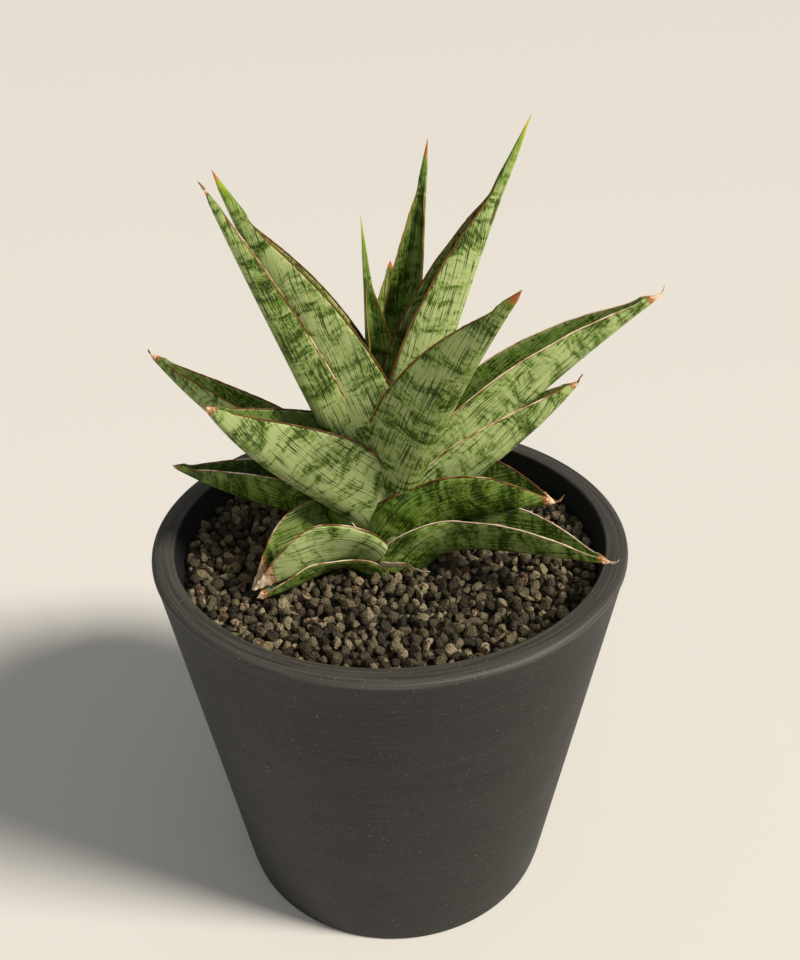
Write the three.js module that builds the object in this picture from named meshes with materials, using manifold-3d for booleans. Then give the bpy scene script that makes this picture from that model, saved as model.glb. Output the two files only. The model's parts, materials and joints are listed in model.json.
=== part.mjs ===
// A potted snake plant: a rosette of folded, boat-shaped leaves on a short rhizome, rooted in
// volcanic grit in a tapered round pot. Millimetres, +Z up, origin under the pot on its axis.
import * as THREE from "three";
import { mergeVertices } from "three/addons/utils/BufferGeometryUtils.js";
import Module from "manifold-3d";

const wasm = await Module();
wasm.setup();

// ---- driving dimensions ----
const CLEARANCE = 0.3; // gap kept between pieces that touch
const LOOSE = 0.8; // gap between the leaves and the grit heaped round them

const POT = {
  height: 130,
  rimRadius: 75,
  footRadius: 55,
  wall: 7,
  floor: 8,
  edge: 1.6, // rounding of the rim
  segments: 52,
};
const DRAIN = { count: 4, radius: 5, circle: 28, sides: 20 }; // round holes through the floor
const MESH_PATCH = { side: 18, thickness: 0.8, hole: 3.2, pitch: 4.8, rows: 3 }; // over each hole
const GRIT = {
  depth: 8, // below the rim
  mound: 5.5, // height of the heap round the plant
  moundRadius: 50,
  grain: 0.9, // unevenness of the surface
  rings: 7,
  segments: 30,
};
const GRIT_TOP = POT.height - GRIT.depth;
const PLANT = new THREE.Vector3(0, -4, GRIT_TOP); // where the plant's axis leaves the grit
const RHIZOME = { top: 13, topRadius: 1.2, shoulder: -9, bottom: -27, radius: 8, sides: 14 };
const ROOT = { count: 8, radius: 1.8, tipRadius: 0.7, spread: 30, drop: 62, sides: 6, stations: 7 };
const LEAF = {
  stations: 10, // along the leaf
  across: 3, // from keel to margin, each side
  thickness: 2.6, // of the keel at the foot
  thinning: 0.55, // share of the thickness lost by the tip
  edgeThinning: 0.75, // share of the thickness lost by the margin
  crowding: 1.15, // above 1 the stations lie closer together towards the tip
  tip: 0.03, // share of the length taken by the end of a leaf that has no awl
  rise: 15, // how far the sheath at the foot steers upwards before the blade leans out
  upright: 0.75, // how upright the sheath is: 0 follows the blade, 1 is vertical
  wrap: 2.4, // half-width of a sheath, as a multiple of its distance from the axis
  flare: 1.5, // the most that a sheath may be wider than its blade
  flatten: 0.12, // flattens the sheath's sides: 0 is a round sheath
  sheath: 19, // length over which the sheath opens into a folded blade
  widest: 0.36, // where the blade is widest, as a share of the length
  keel: 0.35, // share of the half-width over which the rounded keel turns up to the full fold
  awl: 0.16, // half-width of the awl where it starts, as a share of the blade's
  curl: 14, // how much the margin curls in beyond the fold, degrees
  ringStart: 3.2, // distance of the youngest leaf's keel from the axis
  ringStep: 0.62, // each older leaf starts this much further out
  topStart: 15, // height of the youngest leaf's foot above the grit
  topStep: 0.95, // each older leaf starts this much lower
};

// The leaves, youngest first. `toward` is the compass direction of the tip (degrees from +X,
// anticlockwise from above), `reach` its distance from the plant's axis, `height` its height above
// the grit. `half` is the widest half-width, `fold` how steeply each half rises from the keel.
// `bow` arches the keel up (+) or lets it hang (-), as a share of the length, `awl` is the share taken
// by an awl-shaped tip, and `wrap` is stated where a sheath is not of the usual width.
const LEAVES = [
  { name: "spear", toward: 122, reach: 12, height: 107, half: 10, fold: 60, awl: 0.2 },
  { name: "back_tall", toward: 66, reach: 32, height: 123, half: 12, fold: 60, awl: 0.1 },
  { name: "right_tall", toward: 14, reach: 41, height: 133, half: 18, fold: 84, bow: 0.04, awl: 0.16 },
  { name: "left_tall", toward: 192, reach: 44, height: 124, half: 23, fold: 72, awl: 0.12 },
  { name: "front_upright", toward: 311, reach: 50, height: 101, half: 20, fold: 66, bow: 0.06, awl: 0.08 },
  { name: "back_mid", toward: 88, reach: 54, height: 80, half: 17, fold: 65, awl: 0.04 },
  { name: "left_tall_outer", toward: 199, reach: 47, height: 121, half: 11, fold: 68 },
  { name: "right_long", toward: 6, reach: 80, height: 83, half: 20, fold: 74, bow: 0.07, awl: 0.05, wrap: 1.1 },
  { name: "front_left_broad", toward: 199, reach: 53, height: 62, half: 26, fold: 78, bow: -0.1, wrap: 1.5 },
  { name: "right_outer", toward: 4, reach: 57, height: 58, half: 18, fold: 76, bow: -0.05 },
  { name: "left_mid", toward: 160, reach: 79, height: 60, half: 17, fold: 76, bow: -0.08, awl: 0.04 },
  { name: "back_low_left", toward: 105, reach: 52, height: 30, half: 16, fold: 70, bow: -0.05, awl: 0.04 },
  { name: "front_right_upper", toward: 348, reach: 51, height: 25, half: 21, fold: 74, bow: 0.12, wrap: 2.7 },
  { name: "back_low_right", toward: 62, reach: 58, height: 30, half: 16, fold: 70, bow: -0.05, awl: 0.04 },
  { name: "left_low", toward: 166, reach: 72, height: 25, half: 16, fold: 73, bow: -0.04, awl: 0.05, wrap: 1.4 },
  { name: "front_left_low", toward: 207, reach: 47, height: 3, half: 20, fold: 78, bow: 0.06, wrap: 1.35 },
  { name: "front_right_low", toward: 336, reach: 70, height: 15, half: 14, fold: 68, bow: 0.08, awl: 0.06 },
  { name: "front_left_lowest", toward: 208, reach: 46, height: 0, half: 10, fold: 60, bow: -0.02 },
];

const COLOURS = {
  pot: [0x2b2b2c, 0.55],
  mesh: [0x1c1c1c, 0.6],
  grit: [0x4b463d, 0.95],
  rhizome: [0xb8863f, 0.8],
  root: [0xc9a877, 0.85],
  leaf: [0x7f9a5a, 0.45],
};

// ---- small helpers ----
const radians = THREE.MathUtils.degToRad;
const smooth = (x) => THREE.MathUtils.smoothstep(x, 0, 1);

function materialFor(kind) {
  const [color, roughness] = COLOURS[kind];
  return new THREE.MeshStandardMaterial({ color, roughness, metalness: 0 });
}

function solidOf(geometry) {
  const bare = new THREE.BufferGeometry();
  bare.setAttribute("position", geometry.getAttribute("position"));
  bare.setIndex(geometry.getIndex());
  const merged = mergeVertices(bare, 1e-4);
  const corners = merged.index.array;
  const triangles = [];
  for (let i = 0; i < corners.length; i += 3) {
    const [p, q, r] = corners.slice(i, i + 3);
    if (p !== q && q !== r && r !== p) triangles.push(p, q, r);
  }
  const vertProperties = merged.attributes.position.array;
  const triVerts = new Uint32Array(triangles);
  return new wasm.Manifold(new wasm.Mesh({ numProp: 3, vertProperties, triVerts }));
}

// A profile of [radius, height] points turned round the Z axis.
function turned(profile, segments) {
  const points = profile.map(([r, z]) => new THREE.Vector2(r, z));
  return new THREE.LatheGeometry(points, segments).rotateX(Math.PI / 2);
}

function geometryOf(solid) {
  const mesh = solid.getMesh();
  const geometry = new THREE.BufferGeometry();
  geometry.setAttribute("position", new THREE.BufferAttribute(mesh.vertProperties, 3));
  geometry.setIndex(new THREE.BufferAttribute(mesh.triVerts, 1));
  return geometry;
}

// The largest of the pieces that a cut leaves.
function mainPiece(solid) {
  return solid.decompose().reduce((a, b) => (b.volume() > a.volume() ? b : a));
}

// A closed skin over rings of an equal, even number of points, flat at the first ring and drawn to a
// point at the end. The flat end is a zigzag strip, which suits a crescent as well as a disc.
function loft(rings, point) {
  const sides = rings[0].length;
  const positions = [...rings.flat(), point].flatMap((p) => [p.x, p.y, p.z]);
  const index = [0, sides - 1, 1];
  for (let k = 1; k < sides / 2; k++) {
    index.push(k, sides - k, k + 1);
    if (k + 1 < sides / 2) index.push(k + 1, sides - k, sides - k - 1);
  }
  const last = (rings.length - 1) * sides;
  for (let j = 0; j < sides; j++) {
    const k = (j + 1) % sides;
    for (let a = 0; a < last; a += sides) {
      index.push(a + j, a + k, a + sides + k, a + j, a + sides + k, a + sides + j);
    }
    index.push(last + j, last + k, last + sides);
  }
  const geometry = new THREE.BufferGeometry();
  geometry.setAttribute("position", new THREE.Float32BufferAttribute(positions, 3));
  geometry.setIndex(index);
  return geometry;
}

// ---- pot and drainage ----
const potOuter = (z) => POT.footRadius + ((POT.rimRadius - POT.footRadius) * z) / POT.height;
const potInner = (z) => potOuter(z) - POT.wall;

// The place of each drain hole on the pot's floor.
function drainPlaces() {
  return Array.from({ length: DRAIN.count }, (_, i) => {
    const angle = ((i + 0.5) / DRAIN.count) * 2 * Math.PI;
    return new THREE.Vector2(Math.cos(angle), Math.sin(angle)).multiplyScalar(DRAIN.circle);
  });
}

function potGeometry() {
  const { height, footRadius, floor, edge } = POT;
  const profile = [
    [0, 0],
    [footRadius - 1, 0],
    [potOuter(1), 1],
    [potOuter(height - edge), height - edge],
    [potOuter(height) - edge * 0.3, height - edge * 0.3],
    [potOuter(height) - edge, height],
    [potInner(height) + 1, height],
    [potInner(height - 1), height - 1],
    [potInner(floor + 6), floor + 6],
    [potInner(floor) - 6, floor],
    [0, floor],
  ];
  let solid = solidOf(turned(profile, POT.segments));
  for (const place of drainPlaces()) {
    const hole = new THREE.CylinderGeometry(DRAIN.radius, DRAIN.radius, 3 * floor, DRAIN.sides);
    hole.rotateX(Math.PI / 2).translate(place.x, place.y, floor / 2);
    solid = solid.subtract(solidOf(hole));
  }
  return geometryOf(solid);
}

// A square of coarse mesh that keeps the grit out of a drain hole.
function meshPatchGeometry(place) {
  const { side, thickness, hole, pitch, rows } = MESH_PATCH;
  const middle = (rows - 1) / 2;
  let sheet = solidOf(new THREE.BoxGeometry(side, side, thickness));
  for (let i = 0; i < rows * rows; i++) {
    const x = ((i % rows) - middle) * pitch;
    const y = (Math.floor(i / rows) - middle) * pitch;
    const opening = new THREE.BoxGeometry(hole, hole, 3 * thickness).translate(x, y, 0);
    sheet = sheet.subtract(solidOf(opening));
  }
  const z = POT.floor + CLEARANCE + thickness / 2;
  return geometryOf(sheet.translate([place.x, place.y, z]));
}

// The room that a mesh patch takes up under the grit.
function meshRoom(place) {
  const room = MESH_PATCH.side + 2 * CLEARANCE;
  const height = MESH_PATCH.thickness + 2 * CLEARANCE;
  const z = POT.floor + CLEARANCE + MESH_PATCH.thickness / 2;
  return new THREE.BoxGeometry(room, room, height).translate(place.x, place.y, z);
}

// ---- rhizome, roots and grit ----
function rhizomeGeometry(grow = 0) {
  const { top, topRadius, shoulder, bottom, radius, sides } = RHIZOME;
  const profile = [
    [0, bottom - grow],
    [radius * 0.65 + grow, bottom - grow],
    [radius + grow, bottom + 5],
    [radius + grow, shoulder],
    [topRadius + grow, top],
    [0, top + grow + 0.6],
  ];
  return turned(profile, sides).translate(PLANT.x, PLANT.y, PLANT.z);
}

// The room of the packed leaf bases above the rhizome, which no grit gets into.
function crownRoom() {
  const radius = RHIZOME.radius + CLEARANCE;
  const depth = RHIZOME.top - RHIZOME.shoulder;
  const room = new THREE.CylinderGeometry(radius, radius, depth, RHIZOME.sides).rotateX(Math.PI / 2);
  return room.translate(PLANT.x, PLANT.y, PLANT.z + RHIZOME.shoulder + depth / 2);
}

// A fleshy root that leaves the rhizome sideways, turns down and runs to a thin end.
function rootGeometry(i, grow = 0) {
  const { count, radius, tipRadius, spread, drop, sides, stations } = ROOT;
  const angle = ((i + 0.3 * Math.sin(5 * i)) / count) * 2 * Math.PI;
  const out = new THREE.Vector3(Math.cos(angle), Math.sin(angle), 0);
  const start = PLANT.clone().addScaledVector(out, RHIZOME.radius + CLEARANCE + radius * 0.2);
  start.z += RHIZOME.bottom + 7 + 5 * (i % 2);
  const reach = spread * (1 - 0.25 * (i % 3) / 2);
  const bend = start.clone().addScaledVector(out, reach * 0.8);
  bend.z -= 0.15 * drop;
  const end = start.clone().addScaledVector(out, reach);
  end.z -= drop * (1 - 0.2 * ((i + 1) % 3));
  const curve = new THREE.QuadraticBezierCurve3(start, bend, end);
  const level = new THREE.Vector3(-out.y, out.x, 0);
  const rings = [];
  for (let k = 0; k < stations; k++) {
    const u = k / stations;
    const tangent = curve.getTangentAt(u);
    const normal = new THREE.Vector3().crossVectors(tangent, level);
    const r = radius + (tipRadius - radius) * u + grow;
    const centre = curve.getPointAt(u).addScaledVector(tangent, k === 0 ? -3 * grow : 0);
    const spoke = (_, j) => {
      const a = (2 * Math.PI * j) / sides;
      const point = centre.clone().addScaledVector(level, r * Math.cos(a));
      return point.addScaledVector(normal, r * Math.sin(a));
    };
    rings.push(Array.from({ length: sides }, spoke));
  }
  return loft(rings, curve.getPointAt(1).addScaledVector(curve.getTangentAt(1), grow));
}

// Height of the grit's surface: a slight mound at the plant and the unevenness of loose grains.
function gritHeight(x, y) {
  const away = Math.hypot(x - PLANT.x, y - PLANT.y) / GRIT.moundRadius;
  const mound = GRIT.mound * (1 - smooth(away));
  const grain = Math.sin(0.31 * x + 1.3) * Math.cos(0.27 * y - 0.6) + 0.5 * Math.sin(0.71 * x - 0.53 * y);
  return GRIT_TOP + mound + (GRIT.grain * grain) / 1.5;
}

// The grit fills the pot from the floor up, round everything that is rooted in it.
function gritGeometry(buried) {
  const low = POT.floor + CLEARANCE;
  const radiusAt = (z) => potInner(z) - CLEARANCE;
  const ring = (r, height) =>
    Array.from({ length: GRIT.segments }, (_, j) => {
      const angle = (2 * Math.PI * j) / GRIT.segments;
      const [x, y] = [r * Math.cos(angle), r * Math.sin(angle)];
      return new THREE.Vector3(x, y, height ?? gritHeight(x, y));
    });
  const rings = [ring(radiusAt(low) - 6.4, low), ring(radiusAt(low + 6.4) - 0.4, low + 6.4)];
  for (let k = 0; k < GRIT.rings; k++) {
    rings.push(ring(radiusAt(GRIT_TOP - 1.5) * (1 - k / GRIT.rings)));
  }
  let solid = solidOf(loft(rings, new THREE.Vector3(0, 0, gritHeight(0, 0))));
  for (const piece of buried) solid = solid.subtract(solidOf(piece));
  return geometryOf(mainPiece(solid));
}

// ---- leaves ----
// Half-width at a share u of the length: the sheath, the blade and its awl-shaped tip.
function halfWidth(leaf, ring, u) {
  const base = Math.min((leaf.wrap ?? LEAF.wrap) * ring, LEAF.flare * leaf.half);
  const awl = leaf.awl ?? LEAF.tip;
  if (u < LEAF.widest) {
    return base + (leaf.half - base) * smooth(u / LEAF.widest);
  }
  const x = Math.min(1, (u - LEAF.widest) / (1 - awl - LEAF.widest));
  const spike = LEAF.awl * Math.min(1, (1 - u) / Math.max(awl, 0.05));
  return leaf.half * Math.max((1 - x ** 1.75) ** 0.85, spike);
}

// One half of a section: points of its middle surface from keel to margin, in the section's plane.
// It is a round sheath at first (open = 0) and a folded blade further on (open = 1).
function halfSection(width, ring, fold, open) {
  const points = [{ a: 0, b: 0, angle: 0 }];
  const steps = 6;
  for (let i = 0; i < LEAF.across; i++) {
    let { a, b, angle } = points[i];
    for (let s = 0; s < steps; s++) {
      const v = (i + (s + 0.5) / steps) / LEAF.across;
      const round = ((v + LEAF.flatten * Math.sin(2 * Math.PI * v)) * width) / ring;
      const folded = fold * (0.25 + 0.75 * smooth(v / LEAF.keel)) + radians(LEAF.curl) * (v - 0.4);
      angle = round + (folded - round) * open;
      a += (width / LEAF.across / steps) * Math.cos(angle);
      b += (width / LEAF.across / steps) * Math.sin(angle);
    }
    points.push({ a, b, angle });
  }
  return points;
}

function leafPath(leaf, ring, drop) {
  const facing = radians(leaf.toward);
  const out = new THREE.Vector3(Math.cos(facing), Math.sin(facing), 0);
  const across = new THREE.Vector3(-out.y, out.x, 0);
  const foot = PLANT.clone().addScaledVector(out, ring);
  foot.z += LEAF.topStart - drop;
  const tip = PLANT.clone().addScaledVector(out, leaf.reach);
  tip.z += leaf.height;
  const length = tip.distanceTo(foot);
  const along = tip.clone().sub(foot).normalize();
  const up = new THREE.Vector3().crossVectors(along, across);
  const steer = along.clone().multiplyScalar(1 - LEAF.upright);
  steer.z += LEAF.upright;
  const first = foot.clone().addScaledVector(steer.normalize(), Math.min(LEAF.rise, length / 3));
  const second = foot.clone().lerp(tip, 0.55);
  second.addScaledVector(up, (leaf.bow ?? 0) * length);
  return { curve: new THREE.CubicBezierCurve3(foot, first, second, tip), across };
}

// A leaf as a closed skin; `grow` swells it on every side, for cutting its neighbours.
function leafGeometry(leaf, age, grow = 0) {
  const ring = LEAF.ringStart + LEAF.ringStep * age;
  const { curve, across } = leafPath(leaf, ring, LEAF.topStep * age);
  const rings = [];
  for (let i = 0; i < LEAF.stations; i++) {
    const u = 1 - (1 - i / LEAF.stations) ** LEAF.crowding;
    const tangent = curve.getTangentAt(u);
    const wide = across.clone().addScaledVector(tangent, -across.dot(tangent)).normalize();
    const inward = new THREE.Vector3().crossVectors(tangent, wide);
    const centre = curve.getPointAt(u).addScaledVector(tangent, i === 0 ? -grow : 0);
    const open = smooth((u * curve.getLength()) / LEAF.sheath);
    const width = halfWidth(leaf, ring, u);
    const half = halfSection(width, ring, radians(leaf.fold), open);
    const [inner, margin] = half.slice(-2);
    const swell = (3 * grow) / Math.hypot(margin.a - inner.a, margin.b - inner.b);
    margin.a += swell * (margin.a - inner.a);
    margin.b += swell * (margin.b - inner.b);
    const thickness = Math.min(LEAF.thickness * (1 - LEAF.thinning * u), 0.6 * width);
    const place = ({ a, b, angle }, side, offset) =>
      centre
        .clone()
        .addScaledVector(wide, side * Math.max(0.05 * a, a - offset * Math.sin(angle)))
        .addScaledVector(inward, b + offset * Math.cos(angle));
    const last = LEAF.across;
    const thinned = (k) => 1 - LEAF.edgeThinning * (k / last) ** 1.4;
    const skin = (k) => (k === last ? 0 : (thickness / 2) * thinned(k) + grow);
    const section = [];
    for (let k = last; k > 0; k--) section.push(place(half[k], -1, -skin(k)));
    for (let k = 0; k <= last; k++) section.push(place(half[k], 1, -skin(k)));
    for (let k = last - 1; k > 0; k--) section.push(place(half[k], 1, skin(k)));
    for (let k = 0; k < last; k++) section.push(place(half[k], -1, skin(k)));
    rings.push(section);
  }
  const end = curve.getPointAt(1).addScaledVector(curve.getTangentAt(1), grow);
  return loft(rings, end);
}

// ---- assembly ----
const model = new THREE.Group();
function add(name, kind, geometry) {
  const mesh = new THREE.Mesh(geometry, materialFor(kind));
  mesh.name = name;
  model.add(mesh);
}

// Each older leaf wraps the younger ones, so their room is cut out of it.
function fittedLeaves() {
  const taken = [solidOf(rhizomeGeometry(CLEARANCE))];
  return LEAVES.map((leaf, age) => {
    let solid = solidOf(leafGeometry(leaf, age));
    for (const room of taken) solid = solid.subtract(room);
    taken.push(solidOf(leafGeometry(leaf, age, CLEARANCE)));
    return geometryOf(mainPiece(solid));
  });
}

const patches = drainPlaces();
const roots = Array.from({ length: ROOT.count }, (_, i) => i);
const buried = [
  rhizomeGeometry(CLEARANCE),
  crownRoom(),
  ...roots.map((i) => rootGeometry(i, CLEARANCE)),
  ...LEAVES.map((leaf, age) => leafGeometry(leaf, age, LOOSE)),
  ...patches.map((place) => meshRoom(place)),
];

add("pot", "pot", potGeometry());
patches.forEach((place, i) => add(`drain_mesh_${i + 1}`, "mesh", meshPatchGeometry(place)));
add("grit_bed", "grit", gritGeometry(buried));
add("rhizome", "rhizome", rhizomeGeometry());
roots.forEach((i) => add(`root_${i + 1}`, "root", rootGeometry(i)));
fittedLeaves().forEach((geometry, age) => add(`leaf_${LEAVES[age].name}`, "leaf", geometry));

export default model;
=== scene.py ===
"""Potted snake plant: the visible surfaces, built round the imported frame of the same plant.

Boat-shaped, mottled leaves with horny rust-coloured margins stand in a bed of loose lava grit, in a
tapered charcoal pot. Every length is in metres unless its name ends in _MM or a comment says so.
"""

import json
import math
from dataclasses import dataclass
from itertools import combinations

import bpy
import numpy as np
from bpy.props import FloatProperty, FloatVectorProperty, IntProperty, PointerProperty
from bpy.types import Operator, Panel, PropertyGroup
from mathutils import Matrix, Vector, noise

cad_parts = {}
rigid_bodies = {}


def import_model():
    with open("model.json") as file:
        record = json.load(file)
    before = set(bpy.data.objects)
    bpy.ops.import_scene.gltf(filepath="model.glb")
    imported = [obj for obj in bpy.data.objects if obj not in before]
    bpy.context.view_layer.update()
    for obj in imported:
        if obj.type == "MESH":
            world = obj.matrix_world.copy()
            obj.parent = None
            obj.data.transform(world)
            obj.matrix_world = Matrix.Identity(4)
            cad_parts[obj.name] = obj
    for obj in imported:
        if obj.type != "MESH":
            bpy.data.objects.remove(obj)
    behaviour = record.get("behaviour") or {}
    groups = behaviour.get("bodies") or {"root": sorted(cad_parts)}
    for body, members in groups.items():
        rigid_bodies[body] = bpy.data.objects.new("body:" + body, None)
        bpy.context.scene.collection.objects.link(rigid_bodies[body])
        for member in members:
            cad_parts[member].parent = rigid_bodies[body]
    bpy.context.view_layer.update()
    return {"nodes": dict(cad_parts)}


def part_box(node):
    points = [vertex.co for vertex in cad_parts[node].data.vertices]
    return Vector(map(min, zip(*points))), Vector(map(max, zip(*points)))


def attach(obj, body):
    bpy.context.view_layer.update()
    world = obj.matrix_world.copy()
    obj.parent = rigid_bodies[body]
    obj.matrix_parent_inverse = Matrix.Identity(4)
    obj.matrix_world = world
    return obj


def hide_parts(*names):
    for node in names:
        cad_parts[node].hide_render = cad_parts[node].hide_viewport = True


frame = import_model()

bl_info = {
    "name": "Potted snake plant",
    "version": (1, 0, 0),
    "blender": (4, 5, 0),
    "location": "3D View > Sidebar > Snake plant",
    "description": "Builds the leaves, grit and pot of a potted snake plant round its packed frame",
    "category": "Object",
}

MM = 0.001
POT_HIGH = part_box("pot")[1]  # the far corner of its box
GRIT_TOP_MM = (POT_HIGH.z / MM) - 8.0  # the grit lies 8 mm below the rim
PLANT_MM = np.array([0.0, -4.0, GRIT_TOP_MM])  # where the plant's axis leaves the grit
ROOT_BODY = "root"


def linear(hex_colour, alpha=1.0):
    """An sRGB hex colour as linear RGBA."""
    channels = [int(hex_colour[i : i + 2], 16) / 255 for i in (1, 3, 5)]
    bent = [c / 12.92 if c <= 0.04045 else ((c + 0.055) / 1.055) ** 2.4 for c in channels]
    return (*bent, alpha)


# ---------------------------------------------------------------- settings
def length(name, description, default):
    """A length that a user may change, in metres."""
    return FloatProperty(name=name, description=description, default=default, unit="LENGTH", min=0.0)


def colour(name, description, hex_colour):
    """A colour that a user may change."""
    return FloatVectorProperty(
        name=name, description=description, default=linear(hex_colour), subtype="COLOR", size=4
    )


class SNAKEPLANT_PG_pot(PropertyGroup):
    """Sizes and colours of the pot."""

    height: length("Height", "From the flat underside to the top of the rim", POT_HIGH.z)
    rim_radius: length("Rim radius", "Outside radius at the top", 0.075)
    foot_radius: length("Foot radius", "Outside radius at the underside", 0.055)
    wall: length("Wall", "Thickness of the side wall", 0.007)
    floor: length("Floor", "Thickness of the floor", 0.008)
    edge: length("Edge", "Rounding of the rim's outer edge", 0.0016)
    drain_radius: length("Drain hole radius", "Radius of each hole in the floor", 0.005)
    drain_circle: length("Drain circle", "Distance of the holes from the axis", 0.028)
    outside: colour("Outside", "Charcoal body, as cast", "#1B1A17")
    # The rim colour is partly wear and partly a painted highlight where the light catches the top of the
    # rim.
    rubbed_and_lit: colour("Rim", "The paler, turned and rubbed rim", "#3F3C38")
    # The inner wall's near-black is partly its own darker tone and partly painted shade inside the pot.
    inside: colour("Inside", "The darker, unrubbed inner wall", "#0B0B0B")


class SNAKEPLANT_PG_grit(PropertyGroup):
    """Sizes and colours of the lava grit."""

    spacing: length("Spacing", "Closest that two grains' centres lie", 0.0026)
    small: length("Smallest grain", "Radius of the smallest grains", 0.0014)
    large: length("Largest grain", "Radius of the largest grains", 0.0027)
    clear: length("Clear of leaves", "Least distance of a grain's middle from a leaf", 0.0012)
    seed: IntProperty(name="Seed", description="Arrangement of the grains", default=7)
    dark: colour("Dark grain", "Dense lava", "#2C271E")
    light: colour("Light grain", "Weathered lava", "#978A6E")
    red: colour("Red grain", "Oxidised lava", "#5C4433")


class SNAKEPLANT_PG_leaf(PropertyGroup):
    """Sizes and colours of the leaves."""

    thickness: length("Thickness", "Of the fleshy keel at the foot", 0.0026)
    bead: length("Margin bead", "Radius of the horny line along each margin", 0.00021)
    pale: colour("Pale green", "Bloomy ground colour of the outer face", "#B7C384")
    fresh: colour("Fresh green", "Colour between and around the dark marks", "#668824")
    dark: colour("Dark green", "The mottled cross bands and streaks", "#263203")
    inner: colour("Inner green", "Ground colour of the channelled inner face", "#7C8A50")
    gold: colour("Young margin", "Margin of a young leaf", "#8E7430")
    rust: colour("Margin", "Horny margin", "#75481A")
    paper: colour("Papery edge", "Dried skin along old margins and tips", "#E0C9AC")
    awl: colour("Awl", "Spike at a young leaf's tip", "#8DAA2C")
    ember: colour("Tip", "The very end of a young leaf", "#BC6C3C")


class SNAKEPLANT_PG_stage(PropertyGroup):
    """The floor, the light and the camera."""

    floor: colour("Floor", "Plain pale floor", "#DDDAD4")
    key: FloatProperty(
        name="Key light", description="Strength of the main light, from the right", default=4.3
    )
    fill: FloatProperty(
        name="Fill light", description="Power of the soft light in front, in watts", default=1.1
    )
    sky: FloatProperty(name="Sky", description="Strength of the even light from all round", default=0.24)


# ---------------------------------------------------------------- helpers
def node(tree, kind, inputs=None, **settings):
    """Adds one node to a tree with its settings, fills its inputs and returns it.

    inputs maps a socket's name, or its place among the sockets in use, to a value, to an output
    socket, or to a node, which stands for the first of its outputs in use.
    """
    made = tree.nodes.new(kind)
    for key, value in settings.items():
        setattr(made, key, value)
    in_use = [socket for socket in made.inputs if socket.enabled]
    for key, value in (inputs or {}).items():
        socket = in_use[key] if isinstance(key, int) else next(s for s in in_use if s.name == key)
        if isinstance(value, bpy.types.Node):
            value = next(output for output in value.outputs if output.enabled)
        if isinstance(value, bpy.types.NodeSocket):
            tree.links.new(value, socket)
        else:
            socket.default_value = value
    return made


def new_material(name):
    """An empty node material and its tree."""
    material = bpy.data.materials.new(name)
    material.use_nodes = True
    material.node_tree.nodes.clear()
    return material, material.node_tree


def add_object(name, mesh, material=None):
    """Links a mesh as an object at the origin, with its material."""
    piece = bpy.data.objects.new(name, mesh)
    bpy.context.scene.collection.objects.link(piece)
    if material is not None:
        mesh.materials.append(material)
    return piece


def settle(piece, slot_name, *nodes):
    """Fixes a finished piece to the part's body and hides the CAD nodes it stands for; slot_name is not
    used.
    """
    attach(piece, ROOT_BODY)
    if nodes:
        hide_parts(*nodes)


def smooth(x):
    """Smoothstep from 0 to 1."""
    x = np.clip(x, 0.0, 1.0)
    return x * x * (3.0 - 2.0 * x)


def waver(x, y, seed):
    """Repeatable noise between about -1 and 1."""
    return noise.noise(Vector((x, y, 7.3 * seed + 0.5)))


def shade_smooth(mesh, sharp_degrees=None):
    """Smooth shading, with edges past the angle kept sharp."""
    mesh.polygons.foreach_set("use_smooth", [True] * len(mesh.polygons))
    if sharp_degrees is not None:
        mesh.set_sharp_from_angle(angle=math.radians(sharp_degrees))
    mesh.update()


def apply_modifiers(piece):
    """Turns an object's modifiers into plain mesh and takes them off."""
    bpy.context.view_layer.update()
    depsgraph = bpy.context.evaluated_depsgraph_get()
    mesh = bpy.data.meshes.new_from_object(piece.evaluated_get(depsgraph))
    old = piece.data
    name = piece.name
    if piece.type == "MESH":
        piece.modifiers.clear()
        piece.data = mesh
        bpy.data.meshes.remove(old)
        return piece
    bpy.data.objects.remove(piece)
    mesh.name = name
    return add_object(name, mesh)


def discard(*objects):
    """Deletes helper objects."""
    for thing in objects:
        bpy.data.objects.remove(thing)


def use_tree(piece, tree, values):
    """Adds a Geometry Nodes modifier and sets its inputs by their sockets' identifiers."""
    modifier = piece.modifiers.new(tree.name, "NODES")
    modifier.node_group = tree
    for item in tree.interface.items_tree:
        if item.item_type == "SOCKET" and item.in_out == "INPUT" and item.name in values:
            modifier[item.identifier] = values[item.name]


def new_geometry_tree(name, sockets):
    """A Geometry Nodes tree with a geometry input and output and further named inputs."""
    tree = bpy.data.node_groups.new(name, "GeometryNodeTree")
    tree.interface.new_socket("Geometry", in_out="INPUT", socket_type="NodeSocketGeometry")
    for label, kind in sockets:
        tree.interface.new_socket(label, in_out="INPUT", socket_type=kind)
    tree.interface.new_socket("Geometry", in_out="OUTPUT", socket_type="NodeSocketGeometry")
    return tree, tree.nodes.new("NodeGroupInput"), tree.nodes.new("NodeGroupOutput")


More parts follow.
